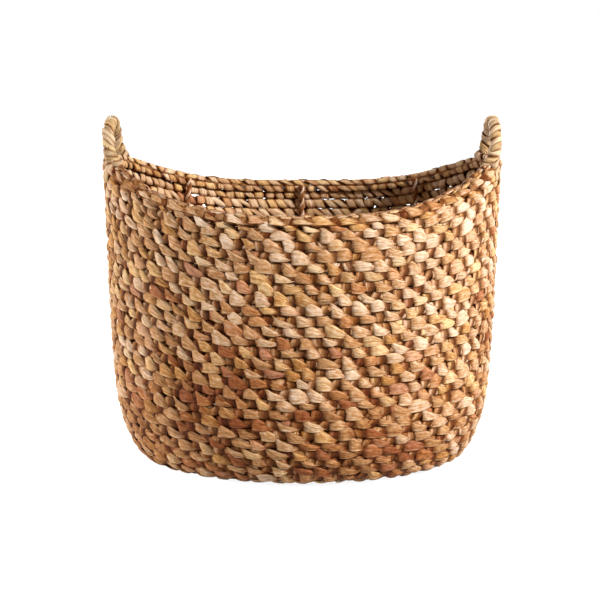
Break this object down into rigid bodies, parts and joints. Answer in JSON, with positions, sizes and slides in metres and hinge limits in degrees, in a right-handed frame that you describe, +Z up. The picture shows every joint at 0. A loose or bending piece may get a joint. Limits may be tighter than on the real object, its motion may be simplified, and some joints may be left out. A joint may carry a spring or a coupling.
{
  "type": "woven storage basket",
  "caption": "Large oval open basket woven from flat plant fibre over a thin rod frame, with a dipped rim and two short upright wrapped handles at its ends.",
  "frame": {"origin": "centre of the basket's box on the floor it stands on", "axes": "+Z up out of the basket's mouth, X along its length from handle to handle, Y across its depth"},
  "size_m": [0.495, 0.371, 0.4345],
  "materials": {
    "fibre": "matte",
    "rim_fibre": "matte",
    "pale_strand": "satin",
    "rod": "satin"
  },
  "bodies": {
    "root": {"rim_hoop": "rod", "base_hoop": "rod", "base_rod_1": "rod", "base_rod_2": "rod", "stake_1": "rod", "stake_2": "rod", "stake_3": "rod", "stake_4": "rod", "stake_5": "rod", "stake_6": "rod", "stake_7": "rod", "stake_8": "rod", "base_core": "fibre", "base_row_1": "fibre", "base_row_2": "fibre", "base_row_3": "fibre", "base_row_4": "fibre", "base_row_5": "fibre", "base_row_6": "fibre", "base_row_7": "fibre", "wall_row_01": "fibre", "wall_row_02": "fibre", "wall_row_03": "fibre", "wall_row_04": "fibre", "wall_row_05": "fibre", "wall_row_06": "fibre", "wall_row_07": "fibre", "wall_row_08": "fibre", "wall_row_09": "fibre", "wall_row_10": "fibre", "wall_row_11": "fibre", "wall_row_12": "fibre", "wall_row_13": "fibre", "wall_row_14": "fibre", "wall_row_15": "fibre", "wall_row_16": "fibre", "wall_row_17": "fibre", "wall_row_18": "fibre", "wall_row_19": "fibre", "wall_row_20": "fibre", "wall_row_21": "fibre", "wall_row_22": "fibre", "wall_row_23": "fibre", "wall_row_24": "fibre", "wall_row_25": "fibre", "wall_row_26": "fibre", "rim_binding": "rim_fibre", "handle_rod_left": "rod", "handle_wrap_left": "pale_strand", "handle_rod_right": "rod", "handle_wrap_right": "pale_strand"}
  },
  "joints": []
}
